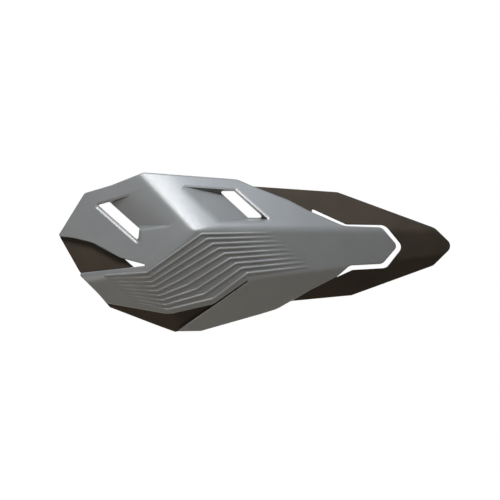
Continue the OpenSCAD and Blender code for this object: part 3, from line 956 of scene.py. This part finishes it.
# Lamps: direction from the part, width in metres, watts, colour and distance in metres
softbox("key_left", (-0.1, -0.5, 0.86), 0.25, 2.55, (0.95, 1, 0.98), 0.5)
softbox("key_middle", (0.1, -0.53, 0.84), 0.15, 1.9, (0.98, 0.94, 0.97), 0.53)
softbox("key_right", (0.191, -0.343, 0.92), 0.2, 0.6, (0.62, 0.8, 1), 0.487)
softbox("fill_heel", (-0.6, -0.75, -0.28), 0.3, 1.0, (1, 0.95, 0.88), 0.6)
softbox("front", (-0.09, -1, -0.02), 0.2, 1.4, (0.75, 0.88, 1), 1.5)
softbox("back_inboard", (-0.3, 0.95, 0.12), 0.5, 2.5, (1, 1, 1), 0.7)
softbox("back_outboard", (0.35, 0.93, -0.08), 0.5, 2.5, (1, 1, 1), 0.7)

# World and floor
ROOM_LEVEL, FLOOR_HALF, FLOOR_HEIGHT, FLOOR_COLOUR = 0.02, 30.0, -0.2, (0.5, 0.43, 0.33, 1)
SHADE_START, SHADE_END, SHADE_LEVEL = 0.3, 1.0, 0.78


def lit_by_rays(nodes, links):
    """1 where a camera, mirror or glass ray looks, else 0."""
    path = nodes.new("ShaderNodeLightPath")
    total = path.outputs["Is Camera Ray"]
    for name in ("Is Glossy Ray", "Is Transmission Ray"):
        add = nodes.new("ShaderNodeMath")
        add.operation = "MAXIMUM"
        links.new(total, add.inputs[0])
        links.new(path.outputs[name], add.inputs[1])
        total = add.outputs[0]
    return total


def emptied(tree_of, kind):
    """The nodes and links of a material or world, with nothing in them but an output."""
    tree_of.use_nodes = True
    nodes, links = tree_of.node_tree.nodes, tree_of.node_tree.links
    nodes.clear()
    return nodes, links, nodes.new(kind)


def mixed(nodes, links, share, first, second):
    """A shader that goes from the first to the second as share goes from 0 to 1."""
    mix = nodes.new("ShaderNodeMixShader")
    links.new(share, mix.inputs[0])
    links.new(first, mix.inputs[1])
    links.new(second, mix.inputs[2])
    return mix.outputs[0]


def studio_world():
    """White where a camera, mirror or glass ray looks, and almost dark as a light."""
    world = bpy.data.worlds.new("studio")
    bpy.context.scene.world = world
    nodes, links, out = emptied(world, "ShaderNodeOutputWorld")
    white = nodes.new("ShaderNodeBackground")
    white.inputs["Color"].default_value = (1, 1, 1, 1)
    room = nodes.new("ShaderNodeBackground")
    room.inputs["Color"].default_value = (ROOM_LEVEL, ROOM_LEVEL, ROOM_LEVEL, 1)
    shown = mixed(nodes, links, lit_by_rays(nodes, links), room.outputs[0], white.outputs[0])
    links.new(shown, out.inputs["Surface"])


def floor_paint():
    """Pale paint that looks white, a little less so near the part, and clear from below."""
    material = bpy.data.materials.new("floor_paint")
    nodes, links, out = emptied(material, "ShaderNodeOutputMaterial")
    paint = nodes.new("ShaderNodeBsdfDiffuse")
    paint.inputs["Color"].default_value = FLOOR_COLOUR
    place = nodes.new("ShaderNodeNewGeometry")
    far = nodes.new("ShaderNodeVectorMath")
    far.operation = "LENGTH"
    links.new(place.outputs["Position"], far.inputs[0])
    level = nodes.new("ShaderNodeMath")
    level.operation = "MULTIPLY"
    links.new(lit_by_rays(nodes, links), level.inputs[0])
    around = ranged(nodes, links, far.outputs["Value"], SHADE_START, SHADE_END, SHADE_LEVEL, 1.0)
    links.new(around, level.inputs[1])
    glow = nodes.new("ShaderNodeEmission")
    glow.inputs["Color"].default_value = (1, 1, 1, 1)
    links.new(level.outputs[0], glow.inputs["Strength"])
    both = nodes.new("ShaderNodeAddShader")
    links.new(paint.outputs[0], both.inputs[0])
    links.new(glow.outputs[0], both.inputs[1])
    clear = nodes.new("ShaderNodeBsdfTransparent")
    shown = mixed(nodes, links, place.outputs["Backfacing"], both.outputs[0], clear.outputs[0])
    links.new(shown, out.inputs["Surface"])
    return material


def floor_plane():
    mesh = bpy.data.meshes.new("floor")
    s, z = FLOOR_HALF, FLOOR_HEIGHT
    mesh.from_pydata([(-s, -s, z), (s, -s, z), (s, s, z), (-s, s, z)], [], [(0, 1, 2, 3)])
    obj = bpy.data.objects.new("floor", mesh)
    bpy.context.scene.collection.objects.link(obj)
    obj.data.materials.append(floor_paint())
    return obj


studio_world()
floor = floor_plane()

bpy.context.scene.view_settings.view_transform = "Standard"
